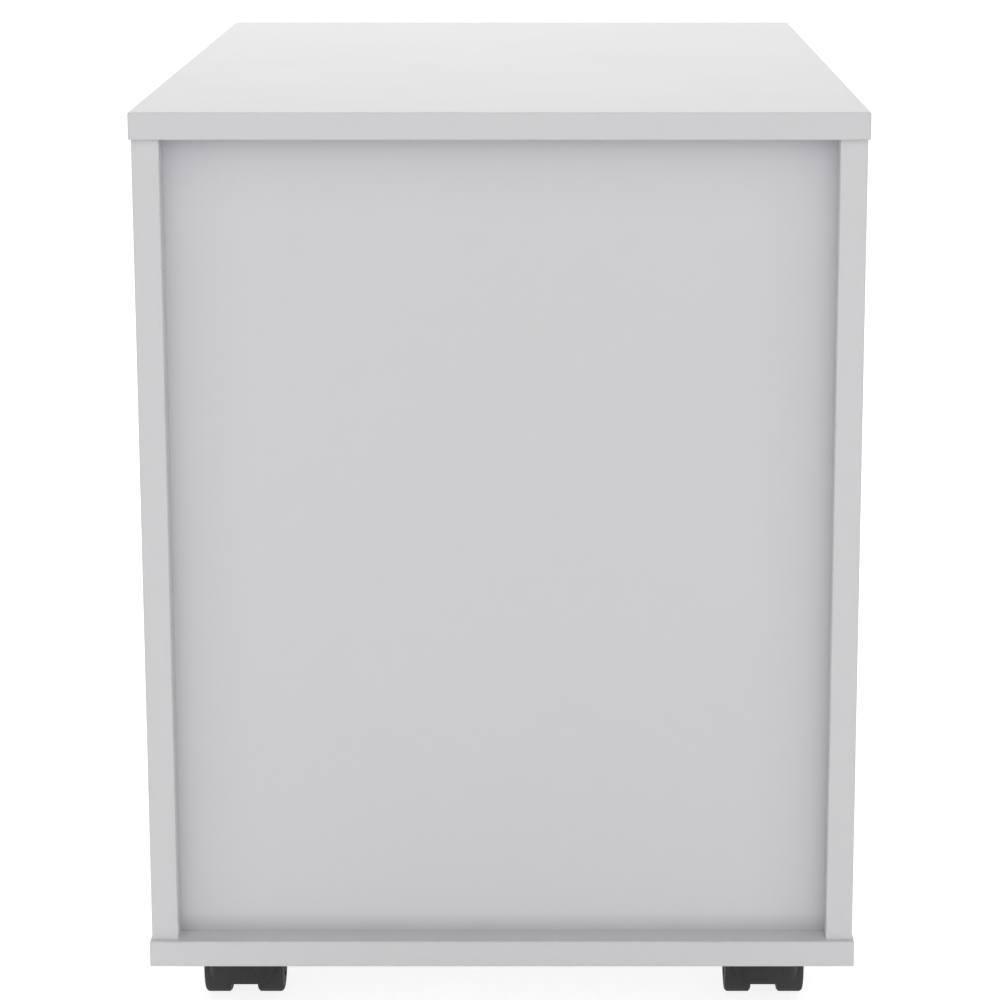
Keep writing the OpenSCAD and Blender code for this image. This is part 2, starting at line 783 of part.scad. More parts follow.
// An angle under the drawer side, with a running flange and a pin at its rear end.
module drawer_runner(which, side) {
  length = y_box_rear - drawer_runner_front;
  flange_length = length - roller_setback - roller_radius - flange_gap;
  color(runner_white)
    difference() {
      on_side(side) translate([-half_inside, drawer_runner_front, runner_feet[which]]) {
        translate([drawer_web, 0, runner_lift])
          cube([runner_sheet, length, flange_rise + runner_sheet - runner_lift]);
        translate([drawer_web, 0, runner_lift]) cube([runner_sheet + runner_shelf, length, runner_sheet]);
        translate([roller_near, 0, flange_rise])
          cube([runner_space - roller_near, flange_length, runner_sheet]);
        translate([drawer_web, length - roller_setback, roller_rise])
          rotate([0, -90, 0]) roller_stud(drawer_web - roller_far);
      }
      at_drawer_runner_screws(which) wood_screw_hole();
    }
}

module rollers(which, y) {
  color(nylon_white)
    for (side = [LEFT, RIGHT])
      on_side(side) translate([-half_inside + roller_near, y, runner_feet[which] + roller_rise])
        rotate([0, 90, 0])
          difference() {
            cylinder(d = roller_diameter, h = roller_width);
            translate([0, 0, -over]) cylinder(d = roller_pin + 2 * slip_play, h = roller_width + 2 * over);
          }
}

module upper_left_cabinet_runner() { cabinet_runner(UPPER, LEFT); }
module upper_right_cabinet_runner() { cabinet_runner(UPPER, RIGHT); }
module lower_left_cabinet_runner() { cabinet_runner(LOWER, LEFT); }
module lower_right_cabinet_runner() { cabinet_runner(LOWER, RIGHT); }
module upper_left_drawer_runner() { drawer_runner(UPPER, LEFT); }
module upper_right_drawer_runner() { drawer_runner(UPPER, RIGHT); }
module lower_left_drawer_runner() { drawer_runner(LOWER, LEFT); }
module lower_right_drawer_runner() { drawer_runner(LOWER, RIGHT); }
module upper_front_rollers() { rollers(UPPER, front_roller_y); }
module lower_front_rollers() { rollers(LOWER, front_roller_y); }
module upper_rear_rollers() { rollers(UPPER, rear_roller_y); }
module lower_rear_rollers() { rollers(LOWER, rear_roller_y); }

// Drawers

// The sheet that closes a drawer from below, or with play its grooves.
module drawer_sheet(which, play) {
  reach = box_groove - groove_play + play;
  translate([-half_box_inside - reach, y_box - reach, sheet_feet[which] - play])
    cube([2 * (half_box_inside + reach), box_length + reach + play, box_bottom_thickness + 2 * play]);
}

module drawer_front(which) {
  difference() {
    translate([-half_carcass, y_face, front_feet[which]])
      eased_board([carcass_width, front_thickness, front_tops[which] - front_feet[which]]);
    drawer_sheet(which, groove_play);
    at_box_cams(which) cam_bolt_thread_hole();
    at_handle_screws(which) handle_screw_hole();
  }
}
module upper_drawer_front() {
  color(white_board)
    difference() {
      drawer_front(UPPER);
      lock_bore(lock_barrel + 2 * fastener_play);
    }
}
module lower_drawer_front() {
  color(white_board) drawer_front(LOWER);
}

module drawer_side(which, side) {
  color(white_board)
    difference() {
      on_side(side) translate([-half_box, y_box, box_feet[which]])
        along_y(box_length) eased_rect(box_side_thickness, box_tops[which] - box_feet[which]);
      drawer_sheet(which, groove_play);
      at_box_cams(which) cam_bolt_passage();
      at_box_discs(which, side) cam_disc_hole(box_side_thickness);
      at_box_screws(which) joint_screw_hole();
      at_drawer_runner_screws(which) wood_screw_hole();
    }
}
module upper_drawer_left_side() { drawer_side(UPPER, LEFT); }
module upper_drawer_right_side() { drawer_side(UPPER, RIGHT); }
module lower_drawer_left_side() { drawer_side(LOWER, LEFT); }
module lower_drawer_right_side() { drawer_side(LOWER, RIGHT); }

module drawer_back(which) {
  foot = sheet_feet[which] + box_bottom_thickness;
  color(white_board)
    difference() {
      translate([-half_box_inside, y_box_back, foot])
        along_x(2 * half_box_inside) eased_rect(box_back_thickness, box_tops[which] - foot);
      at_box_screws(which) joint_screw_hole();
      at_sheet_screws(which) wood_screw_hole();
    }
}
module upper_drawer_back() { drawer_back(UPPER); }
module lower_drawer_back() { drawer_back(LOWER); }

module drawer_bottom(which) {
  color(white_sheet)
    difference() {
      drawer_sheet(which, 0);
      at_sheet_screws(which) wood_screw_hole();
    }
}
module upper_drawer_bottom() { drawer_bottom(UPPER); }
module lower_drawer_bottom() { drawer_bottom(LOWER); }

module drawer_fasteners(which) {
  at_box_cams(which) cam_bolt();
  at_box_discs(which, LEFT) cam_disc(box_side_thickness);
  at_box_discs(which, RIGHT) cam_disc(box_side_thickness);
  at_box_screws(which) joint_screw();
  at_drawer_runner_screws(which) wood_screw();
  at_sheet_screws(which) wood_screw();
  at_handle_screws(which) handle_screw();
}
module upper_drawer_fasteners() {
  color(zinc) {
    drawer_fasteners(UPPER);
    lock_nut();
  }
}
module lower_drawer_fasteners() {
  color(zinc) drawer_fasteners(LOWER);
}

// A round bar on two posts that the handle screws go into.
module drawer_handle(which) {
  reach = handle_projection - handle_bar / 2;
  color(nickel)
    difference() {
      union() {
        translate([-handle_length / 2, y_face - reach, handle_zs[which]]) rotate([0, 90, 0]) handle_rod();
        for (side = [-0.5, 0.5])
          translate([side * handle_pitch, y_face, handle_zs[which]])
            rotate([90, 0, 0]) cylinder(d = handle_post, h = reach);
      }
      at_handle_screws(which) handle_screw_hole();
    }
}
module handle_rod() {
  inner = handle_bar - 2 * handle_bevel;
  cylinder(d1 = inner, d2 = handle_bar, h = handle_bevel);
  translate([0, 0, handle_bevel]) cylinder(d = handle_bar, h = handle_length - 2 * handle_bevel);
  translate([0, 0, handle_length - handle_bevel]) cylinder(d1 = handle_bar, d2 = inner, h = handle_bevel);
}
module upper_drawer_handle() { drawer_handle(UPPER); }
module lower_drawer_handle() { drawer_handle(LOWER); }

// A cap over a drawer side whose inner wall stands up for the folder hooks.
module file_rail(side) {
  top = box_tops[LOWER];
  inner = box_side_thickness + fastener_play;
  color(black_plastic)
    on_side(side) translate([-half_box, y_box + rail_gap, top])
      along_y(y_box_back - y_box - 2 * rail_gap)
        polygon([
          [-fastener_play - rail_wall, -rail_skirt],
          [-fastener_play, -rail_skirt],
          [-fastener_play, 0],
          [inner, 0],
          [inner, -rail_skirt],
          [inner + rail_wall, -rail_skirt],
          [inner + rail_wall, rail_height],
          [inner, rail_height],
          [inner, rail_wall],
          [-fastener_play - rail_wall, rail_wall]
        ]);
}
module left_file_rail() { file_rail(LEFT); }
module right_file_rail() { file_rail(RIGHT); }

// Lock

module lock_bore(diameter) {
  translate([0, y_lock_front - over, lock_z]) rotate([-90, 0, 0])
    cylinder(d = diameter, h = y_lock_tail - y_lock_front + 2 * over);
}

module lock_housing() {
  color(nickel)
    difference() {
      translate([0, 0, lock_z]) rotate([-90, 0, 0]) {
        translate([0, 0, y_lock_front]) cylinder(d = lock_bezel, h = lock_bezel_thickness);
        translate([0, 0, y_face]) cylinder(d = lock_barrel, h = y_lock_tail - y_face);
      }
      lock_bore(lock_plug_diameter + 2 * slip_play);
    }
}

module lock_nut() {
  translate([0, y_box, lock_z]) rotate([-90, 0, 0])
    difference() {
      cylinder(d = lock_nut_across, h = lock_nut_thickness, $fn = 6);
      translate([0, 0, -over])
        cylinder(d = lock_barrel + 2 * fastener_play, h = lock_nut_thickness + 2 * over);
    }
}

// The plug carries the keyway in front and a square end for the cam behind.
module lock_plug() {
  front = y_lock_front + plug_recess;
  color(nickel)
    difference() {
      union() {
        translate([0, front, lock_z]) rotate([-90, 0, 0])
          cylinder(d = lock_plug_diameter, h = y_lock_tail - front);
        translate([-cam_square / 2, y_lock_tail, lock_z - cam_square / 2])
          cube([cam_square, y_cam + cam_sheet - y_lock_tail, cam_square]);
      }
      translate([-keyway_width / 2, front - over, lock_z - keyway_height / 2])
        cube([keyway_width, keyway_depth + over, keyway_height]);
      translate([0, y_cam + cam_sheet, lock_z]) rotate([90, 0, 0])
        translate([0, 0, -over])
          cylinder(d = cam_screw_shank + 2 * fastener_play, h = cam_screw_length + fastener_play + over);
    }
}

// The cam lies to the left when the drawer is unlocked and turns up behind the strike.
module lock_cam() {
  hole = cam_square + 2 * fastener_play;
  y_end = y_cam + cam_sheet;
  color(zinc) {
    difference() {
      union() {
        translate([0, y_cam, lock_z]) rotate([-90, 0, 0]) cylinder(d = cam_width, h = cam_sheet);
        translate([-cam_reach, y_cam, lock_z - cam_width / 2]) cube([cam_reach, cam_sheet, cam_width]);
      }
      translate([-hole / 2, y_cam - over, lock_z - hole / 2]) cube([hole, cam_sheet + 2 * over, hole]);
    }
    translate([0, y_end + press_play, lock_z]) rotate([90, 0, 0])
      difference() {
        union() {
          translate([0, 0, -cam_screw_head_height]) cylinder(d = cam_screw_head, h = cam_screw_head_height);
          cylinder(d = cam_screw_shank, h = cam_screw_length);
        }
        translate([0, 0, -cam_screw_head_height]) cross_drive(cam_screw_head);
      }
  }
}

// Casters

module caster_plates() {
  color(zinc)
    difference() {
      at_casters() {
        translate([0, 0, caster_height - plate_thickness]) linear_extrude(plate_thickness)
          polygon(rounded_square(plate_size, plate_corner));
        translate([0, 0, race_foot]) cylinder(d = race_diameter, h = caster_height - race_foot);
      }
      at_casters() {
        translate([0, 0, race_foot - over])
          cylinder(d = kingpin_diameter + 2 * press_play, h = caster_height - race_foot + over);
        translate([0, 0, pin_head_foot - press_play])
          cylinder(d = pin_head + 2 * fastener_play, h = caster_height);
      }
      at_caster_screws() wood_screw_hole();
    }
}
function rounded_square(size, r) =
  let (c = size / 2 - r)
  concat(arc(c, c, r, 0, 90, 6), arc(-c, c, r, 90, 180, 6), arc(-c, -c, r, 180, 270, 6),
         arc(c, -c, r, 270, 360, 6));

// A rivet that holds the hood up to its plate.
module caster_kingpins() {
  color(zinc)
    at_casters() {
      translate([0, 0, pin_flange_foot])
        cylinder(d = pin_flange, h = pin_flange_thickness);
      translate([0, 0, pin_flange_foot])
        cylinder(d = kingpin_diameter, h = pin_head_foot + pin_head_height - pin_flange_foot);
      translate([0, 0, pin_head_foot]) cylinder(d = pin_head, h = pin_head_height);
    }
}

// Side view of the hood and its web, with the swivel axis at 0 and the axle at -caster_trail.
function hood_profile() =
  let (y = -caster_trail, z = wheel_radius)
  concat(
    [[hood_front, hood_rim]],
    arc(hood_front - crown_radius, hood_top - crown_radius, crown_radius, 0, 90, 16),
    [[-crown_reach, hood_top]],
    arc(y, z, fender_radius, fender_start, fender_end, 24),
    [[y + arch_radius * cos(fender_end), z + arch_radius * sin(fender_end)]],
    arc(y, z, axle_boss, 180, 290, 16),
    [[hood_front - skirt_depth, hood_rim]]
  );

// View of the hood from above.
function hood_plan() =
  let (x = hood_width / 2, c = hood_corner, far = -caster_trail - fender_radius - over)
  concat(arc(x - c, hood_front - c, c, 0, 90, 16), arc(c - x, hood_front - c, c, 90, 180, 16),
         [[-x, far], [x, far]]);

module caster_hood(side, end) {
  color(black_plastic)
    at_caster(side, end)
      difference() {
        intersection() {
          translate([-hood_width / 2, 0, 0]) along_x(hood_width) polygon(hood_profile());
          linear_extrude(caster_height) polygon(hood_plan());
        }
        for (turn = [LEFT, RIGHT])
          on_side(turn) translate([0, -caster_trail, wheel_radius]) hood_arch();
        for (turn = [LEFT, RIGHT])
          on_side(turn) hood_pocket();
        for (turn = [LEFT, RIGHT])
          on_side(turn) skirt_corner_cut();
        translate([0, 0, -over]) cylinder(d = kingpin_diameter + 2 * slip_play, h = caster_height);
        translate([0, 0, -over]) cylinder(d = pin_flange + 2 * pin_flange_room, h = crown_foot + over);
        translate([-hood_width / 2, -caster_trail, wheel_radius]) rotate([0, 90, 0])
          cylinder(d = axle_diameter + 2 * press_play, h = hood_width);
      }
}
module at_caster(side, end) {
  translate([side * caster_x, end == REAR ? caster_ys[1] : caster_ys[0], 0]) children();
}
module hood_arch() {
  translate([-web_half, 0, 0]) rotate([0, -90, 0]) cylinder(r = arch_radius, h = hood_width);
}
// Hollows the front of the hood from below, beside the web and short of the rounded corner.
module hood_pocket() {
  width = hood_width / 2 - web_half - hood_wall;
  depth = hood_front - hood_wall - hood_corner / 3;
  translate([-web_half - width, 0, 0]) cube([width, depth, crown_foot - pocket_roof]);
}
// Rounds a lower corner of the skirt.
module skirt_corner_cut() {
  edge = -hood_width / 2;
  reach = caster_trail + fender_radius;
  translate([0, -reach, 0]) along_y(reach + hood_front + over)
    difference() {
      translate([edge - over, 0]) square([over + skirt_corner, hood_rim + skirt_corner]);
      translate([edge + skirt_corner, hood_rim + skirt_corner]) circle(r = skirt_corner);
    }
}

module caster_axle(side, end) {
  length = wheel_gap + 2 * (wheel_bore_depth - swivel_play);
  color(zinc)
    at_caster(side, end) translate([-length / 2, -caster_trail, wheel_radius]) rotate([0, 90, 0])
      cylinder(d = axle_diameter, h = length);
}

// The half section of a wheel, with its inner face at y = 0.
module wheel_section() {
  r = wheel_radius;
  hub = axle_diameter / 2 + hub_wall;
  difference() {
    union() {
      polygon([
        [0, 0],
        [r - wheel_edge, 0],
        [r, wheel_edge],
        [r, wheel_shoulder_y],
        [r - wheel_shoulder, wheel_width - wheel_dome],
        [0, wheel_width]
      ]);
      polygon(concat([[r - wheel_shoulder, wheel_shoulder_y]],
                     arc(r - wheel_shoulder, wheel_shoulder_y, wheel_shoulder, 0, 90, 8)));
    }
    translate([-over, -over])
      square([over + axle_diameter / 2 + slip_play, over + wheel_bore_depth]);
    translate([hub, -over]) square([r - tread_wall - hub, over + wheel_width / 2]);
    translate([ring_radius, wheel_width - wheel_dome - ring_depth]) square([ring_width, 2 * wheel_dome]);
  }
}
module caster_wheel(side, end, turn) {
  color(wheel_black)
    at_caster(side, end) on_side(turn) translate([-half_gap, -caster_trail, wheel_radius])
      rotate([0, -90, 0]) rotate_extrude() wheel_section();
}

module rear_left_hood() { caster_hood(LEFT, REAR); }
module rear_left_axle() { caster_axle(LEFT, REAR); }
module rear_left_inner_wheel() { caster_wheel(LEFT, REAR, RIGHT); }
module rear_left_outer_wheel() { caster_wheel(LEFT, REAR, LEFT); }
module rear_right_hood() { caster_hood(RIGHT, REAR); }
module rear_right_axle() { caster_axle(RIGHT, REAR); }
module rear_right_inner_wheel() { caster_wheel(RIGHT, REAR, LEFT); }
module rear_right_outer_wheel() { caster_wheel(RIGHT, REAR, RIGHT); }
module front_left_hood() { caster_hood(LEFT, FRONT); }
module front_left_axle() { caster_axle(LEFT, FRONT); }
module front_left_inner_wheel() { caster_wheel(LEFT, FRONT, RIGHT); }
module front_left_outer_wheel() { caster_wheel(LEFT, FRONT, LEFT); }
module front_right_hood() { caster_hood(RIGHT, FRONT); }
module front_right_axle() { caster_axle(RIGHT, FRONT); }
module front_right_inner_wheel() { caster_wheel(RIGHT, FRONT, LEFT); }
module front_right_outer_wheel() { caster_wheel(RIGHT, FRONT, RIGHT); }

// Drawing

top_panel();
bottom_panel();
left_side_panel();
right_side_panel();
back_panel();
cam_bolts();
cam_discs();
wood_dowels();
joint_screws();
wood_screws();
lock_strike();
upper_left_cabinet_runner();
upper_right_cabinet_runner();
lower_left_cabinet_runner();
lower_right_cabinet_runner();
upper_front_rollers();
lower_front_rollers();
caster_plates();
caster_kingpins();
upper_drawer_front();
upper_drawer_left_side();
upper_drawer_right_side();
upper_drawer_back();
upper_drawer_bottom();
upper_drawer_handle();
upper_drawer_fasteners();
upper_left_drawer_runner();
upper_right_drawer_runner();
upper_rear_rollers();
lock_housing();
lock_plug();
lock_cam();
lower_drawer_front();
lower_drawer_left_side();
lower_drawer_right_side();
lower_drawer_back();
lower_drawer_bottom();
lower_drawer_handle();
lower_drawer_fasteners();
lower_left_drawer_runner();
lower_right_drawer_runner();
lower_rear_rollers();
left_file_rail();
right_file_rail();
rear_left_hood();
rear_left_axle();
rear_left_inner_wheel();
rear_left_outer_wheel();
rear_right_hood();
rear_right_axle();
rear_right_inner_wheel();
rear_right_outer_wheel();
front_left_hood();
front_left_axle();
front_left_inner_wheel();
front_left_outer_wheel();
front_right_hood();
front_right_axle();
front_right_inner_wheel();
front_right_outer_wheel();
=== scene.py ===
"""Looks of the rolling pedestal cabinet: camera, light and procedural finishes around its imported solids.

Lengths are in metres and colours are linear. +Z is up and the front faces -Y.
"""

import math

import bpy
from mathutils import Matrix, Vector


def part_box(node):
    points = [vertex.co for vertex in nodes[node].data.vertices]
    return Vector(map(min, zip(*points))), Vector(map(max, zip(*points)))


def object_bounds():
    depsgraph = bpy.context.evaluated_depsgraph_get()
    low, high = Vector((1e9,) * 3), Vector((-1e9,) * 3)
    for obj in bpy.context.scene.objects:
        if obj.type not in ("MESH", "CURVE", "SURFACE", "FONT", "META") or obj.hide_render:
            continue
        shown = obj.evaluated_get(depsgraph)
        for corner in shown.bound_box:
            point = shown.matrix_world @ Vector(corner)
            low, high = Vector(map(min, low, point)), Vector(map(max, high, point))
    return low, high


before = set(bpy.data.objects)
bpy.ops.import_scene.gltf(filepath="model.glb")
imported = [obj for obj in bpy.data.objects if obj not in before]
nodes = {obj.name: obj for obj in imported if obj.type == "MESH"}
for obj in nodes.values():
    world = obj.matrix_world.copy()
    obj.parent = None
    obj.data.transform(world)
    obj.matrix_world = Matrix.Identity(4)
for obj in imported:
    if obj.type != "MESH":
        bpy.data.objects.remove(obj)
cad_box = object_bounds()

MM = 0.001
WHITE = (1.0, 1.0, 1.0, 1.0)

# Camera: straight behind the cabinet, a little above it. The pitch is downwards in radians, the lens in
# millimetres, and the shift in widths of the frame.
CAMERA_PLACE = Vector((-0.025917, 1.986023, 0.723309))
CAMERA_PITCH = 0.201540
CAMERA_LENS = 111.732
CAMERA_SHIFT = (-0.0474, -0.100)

# Sky: its level towards (x, y, z) is SKY_LEVEL + SKY_ENDS * y * y + SKY_SIDE * x. It is brighter towards
# the front and the rear than towards the sides, and a little brighter on the left than on the right.
SKY_LEVEL = 0.20
SKY_ENDS = 1.93
SKY_SIDE = -0.10

# Soft box above the front, which faces the middle of the top: power in watts, side and place.
LAMP_POWER = 26.3
LAMP_SIZE = 2.2
LAMP_PLACE = Vector((0.30, -0.95, 2.18))
LAMP_TARGET = Vector((0.0, 0.0, cad_box[1][2]))
LAMP_TINT = (1.0, 0.980, 0.985)

# Floor, just under the wheels: the tone that lights the cabinet from below, and the glow and the catch that
# make it white to the eye and let the shadow show.
FLOOR_SIZE = 60.0
FLOOR_DROP = 0.2 * MM
FLOOR_TONE = (0.98, 0.98, 0.98, 1.0)
FLOOR_GLOW = 0.84
FLOOR_CATCH = (0.40, 0.40, 0.40, 1.0)

# Easing: the ends of the names of the nodes whose edges past SHARP are rounded. Points closer than WELD
# count as one point, and faces within FLAT of each other as one face.
EASED = ("_wheel", "_file_rail", "lock_housing")
EASE_WIDTH = 0.3 * MM
EASE_STEPS = 3
WELD = 0.001 * MM
FLAT = math.radians(0.3)
SHARP = math.radians(35)

# Worn edges: rays that look for an edge, and the cosines of the bend between which its mask fades.
EDGE_RAYS = 6
EDGE_BEND = (0.80, 0.985)

# Boards: level of the white, gloss, the depths over which the edge band ends and the raw core begins, the
# depth of the band's glue line, and the distances from that line over which it fades.
BOARD_WHITE = 0.64
BOARD_GLOSS = 0.18
BAND_END = (0.55 * MM, 0.80 * MM)
CORE_START = (0.50 * MM, 0.62 * MM)
GLUE_LINE = 0.85 * MM
GLUE_FADE = (0.05 * MM, 0.22 * MM)

# Sheets: the depths over which the raw edge ends, and the distances from the edges over which the painted
# shade fades:
# along every edge, and at the foot of a standing sheet.
RAW_END = (0.05 * MM, 0.25 * MM)
EDGE_SHADE_FADE = (6 * MM, 56 * MM)
FOOT_SHADE_FADE = (5.8 * MM, 18 * MM)

# Black plastic: gloss of the file rails and of the duller casters, and the depths under a wheel's rim at
# which the dust of its tread starts and is full.
RAIL_GLOSS = 0.20
CASTER_GLOSS = 0.10
TREAD_START = 1.2 * MM
TREAD_FULL = 0.2 * MM


def grey(level, warmth=0.0):
    """A colour near grey; warmth tips it towards yellow, a negative one towards blue."""
    return (level, level, level * (1 - warmth), 1.0)


class Graph:
    """Builds the nodes of a material or a world. A value is a number, a colour or another node's output."""

    def __init__(self, tree):
        self.nodes = tree.nodes
        self.links = tree.links

    def join(self, value, socket):
        """Links an output to a socket, or sets the socket to a constant."""
        if isinstance(value, bpy.types.NodeSocket):
            self.links.new(value, socket)
        else:
            socket.default_value = value

    def node(self, kind, inputs, output=0, **settings):
        """Adds a node and returns one of its outputs."""
        made = self.nodes.new("ShaderNode" + kind)
        for key, value in settings.items():
            setattr(made, key, value)
        for key, value in inputs.items():
            self.join(value, made.inputs[key])
        return made.outputs[output]

    def end(self, kind, shader):
        """Adds the output node, which shows this shader."""
        self.links.new(shader, self.nodes.new("ShaderNode" + kind).inputs["Surface"])

    def math(self, operation, *values):
        """One of Blender's operations on numbers."""
        return self.node("Math", dict(enumerate(values)), operation=operation)

    def plus(self, first, second):
        return self.math("ADD", first, second)

    def minus(self, first, second):
        return self.math("SUBTRACT", first, second)

    def times(self, first, second):
        return self.math("MULTIPLY", first, second)

    def least(self, first, second):
        return self.math("MINIMUM", first, second)

    def most(self, first, second):
        return self.math("MAXIMUM", first, second)

    def vector(self, operation, *values, output="Vector"):
        """One of Blender's operations on vectors."""
        return self.node("VectorMath", dict(enumerate(values)), output=output, operation=operation)

    def axes(self, vector):
        """The three components of a vector."""
        split = self.nodes.new("ShaderNodeSeparateXYZ")
        self.links.new(vector, split.inputs[0])
        return list(split.outputs)

    def seen_directly(self):
        """1 for camera, glossy and transmission rays."""
        path = self.nodes.new("ShaderNodeLightPath").outputs
        shiny = self.most(path["Is Camera Ray"], path["Is Glossy Ray"])
        return self.most(shiny, path["Is Transmission Ray"])


def empty_graph(owner):
    """The graph of a new material or world, with no nodes yet."""
    owner.use_nodes = True
    owner.node_tree.nodes.clear()
    return Graph(owner.node_tree)


class Finish(Graph):
    """One procedural material on a principled shader. Constants are set on the shader's own sockets."""

    def __init__(self, name, **constants):
        self.material = bpy.data.materials.new(name)
        self.material.use_nodes = True
        super().__init__(self.material.node_tree)
        self.bsdf = self.nodes["Principled BSDF"]
        for socket, value in constants.items():
            self.bsdf.inputs[socket.replace("_", " ")].default_value = value
        self.place = self.node("TexCoord", {}, output="Object")

    def rise(self, value, low, high):
        """0 below low, 1 above high and smooth between."""
        inputs = {"Value": value, "From Min": low, "From Max": high}
        return self.node("MapRange", inputs, interpolation_type="SMOOTHSTEP")

    def fall(self, value, low, high):
        """1 below low, 0 above high and smooth between."""
        return self.minus(1.0, self.rise(value, low, high))

    # The Mix node has sockets of the same names for each kind of value, so they are picked by their places.

    def mix(self, factor, start, end):
        """A number from start to end."""
        return self.node("Mix", {0: factor, 2: start, 3: end}, data_type="FLOAT")

    def blend(self, factor, start, end):
        """A colour from start to end."""
        return self.node("Mix", {0: factor, 6: start, 7: end}, output=2, data_type="RGBA")

    def coat(self, colour, over, mask, strength):
        """Lays one colour over another where the mask is 1, at this strength."""
        return self.blend(self.times(mask, strength), colour, over)

    def noise(self, size, detail=2.0, roughness=0.5, stretch=None):
        """Noise from 0 to 1 with features of about this size, drawn out along the axes by stretch."""
        vector = self.place
        if stretch:
            vector = self.vector("MULTIPLY", vector, tuple(1 / factor for factor in stretch))
        inputs = {"Vector": vector, "Scale": 1 / size, "Detail": detail, "Roughness": roughness}
        return self.node("TexNoise", inputs)

    def patches(self, size, low, high, **looks):
        """Patches with soft edges, where noise rises from low to high."""
        return self.rise(self.noise(size, **looks), low, high)

    def cells(self, size, output="Distance"):
        """Cells of about this size: the distance from the middle of the nearest one, or another output."""
        return self.node("TexVoronoi", {"Vector": self.place, "Scale": 1 / size}, output=output)

    def cell_tones(self, size):
        """A tone from 0 to 1 for each cell."""
        return self.axes(self.cells(size, output="Color"))[0]

    def edges(self, radius):
        """1 along the edges of the shape, fading out at about this distance from them."""
        rounded = self.node("Bevel", {"Radius": radius}, samples=EDGE_RAYS)
        plain = self.node("NewGeometry", {}, output="Normal")
        bend = self.vector("DOT_PRODUCT", rounded, plain, output="Value")
        return self.fall(bend, *EDGE_BEND)

    def bump(self, height, depth, under=None):
        """A normal with this relief, laid on another one if that is given."""
        inputs = {"Height": height, "Distance": depth, "Strength": 1.0}
        if under:
            inputs["Normal"] = under
        return self.node("Bump", inputs)

    def done(self, colour, roughness, normal):
        """Joins the three to the shader and returns the material."""
        for socket, value in (("Base Color", colour), ("Roughness", roughness), ("Normal", normal)):
            self.join(value, self.bsdf.inputs[socket])
        return self.material


# Boards and sheets

def board_gaps(finish, node):
    """Distances from a point on a board to its three pairs of outer faces, the closest pair first."""
    low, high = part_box(node)
    gaps = []
    for axis, value in enumerate(finish.axes(finish.place)):
        gap = finish.least(finish.minus(value, low[axis]), finish.minus(high[axis], value))
        gaps.append((high[axis] - low[axis], gap))
    gaps.sort(key=lambda pair: pair[0])
    return [gap for _, gap in gaps]


def chipboard(finish):
    """Colour of the raw core that shows in grooves and holes."""
    dark, light, glue = (0.36, 0.24, 0.13, 1), (0.62, 0.46, 0.28, 1), (0.50, 0.36, 0.21, 1)
    chips = finish.blend(finish.cell_tones(2.6 * MM), dark, light)
    return finish.blend(finish.noise(0.5 * MM), chips, glue)


def melamine_white(finish):
    """Colour of a clean board: broad faint clouds with finer ones in them."""
    dull, clear = grey(0.985 * BOARD_WHITE, warmth=-0.012), grey(1.012 * BOARD_WHITE, warmth=-0.018)
    broad = finish.noise(160 * MM, detail=3.0, roughness=0.55)
    fine = finish.noise(22 * MM, detail=3.0, roughness=0.6)
    cloud = finish.plus(broad, finish.times(fine, 0.5))
    return finish.blend(finish.rise(cloud, 0.45, 1.05), dull, clear)


def melamine(node):
    """White melamine-faced board with a pearl texture, banded edges, small nicks and a raw core."""
    finish = Finish("melamine_" + node, Specular_IOR_Level=BOARD_GLOSS)
    thin, across, along = board_gaps(finish, node)
    rim = finish.least(across, along)
    # The middle one of the three gaps is the distance from the nearest edge between two faces.
    edge = finish.most(finish.least(thin, across), finish.least(finish.most(thin, across), along))
    band = finish.fall(rim, *BAND_END)
    glue = finish.fall(finish.math("ABSOLUTE", finish.minus(rim, GLUE_LINE)), *GLUE_FADE)
    core = finish.rise(finish.least(thin, rim), *CORE_START)
    pearl = finish.plus(finish.cells(0.8 * MM), finish.times(finish.noise(0.4 * MM, roughness=0.6), 0.7))
    pearl_hollow_shade = finish.fall(pearl, 0.35, 0.85)

    streaks = finish.patches(1.6 * MM, 0.66, 0.78, detail=3.0, roughness=0.6, stretch=(22, 1, 1))
    rub = finish.times(streaks, finish.patches(60 * MM, 0.50, 0.70, detail=3.0, roughness=0.6))
    smudges = finish.patches(24 * MM, 0.45, 0.75, detail=4.0, roughness=0.65)
    grime = finish.times(finish.fall(edge, 0.2 * MM, 2.5 * MM), smudges)
    chips = finish.patches(4 * MM, 0.60, 0.68, detail=5.0, roughness=0.70)
    nick = finish.times(finish.fall(edge, 0.15 * MM, 0.95 * MM), chips)

    colour = melamine_white(finish)
    # Painted shade in the hollows of the pearl texture.
    colour = finish.coat(colour, grey(0.40 * BOARD_WHITE, warmth=-0.014), pearl_hollow_shade, strength=0.07)
    colour = finish.coat(colour, grey(0.985 * BOARD_WHITE, warmth=-0.022), band, strength=0.6)
    colour = finish.coat(colour, grey(0.34, warmth=0.04), glue, strength=0.32)
    colour = finish.coat(colour, grey(0.40, warmth=0.02), rub, strength=0.05)
    colour = finish.coat(colour, grey(0.38, warmth=0.05), grime, strength=0.10)
    colour = finish.coat(colour, (0.42, 0.36, 0.29, 1), nick, strength=0.38)
    colour = finish.blend(core, colour, chipboard(finish))

    smeared = finish.mix(finish.noise(70 * MM, detail=4.0, roughness=0.6), 0.46, 0.62)
    banded = finish.minus(smeared, finish.times(band, 0.06))
    rough = finish.plus(banded, finish.times(finish.most(core, finish.most(nick, rub)), 0.25))
    skin = finish.bump(pearl, 0.035 * MM)
    dents = finish.minus(1.0, finish.most(glue, nick))
    return finish.done(colour, rough, finish.bump(dents, 0.05 * MM, under=skin))


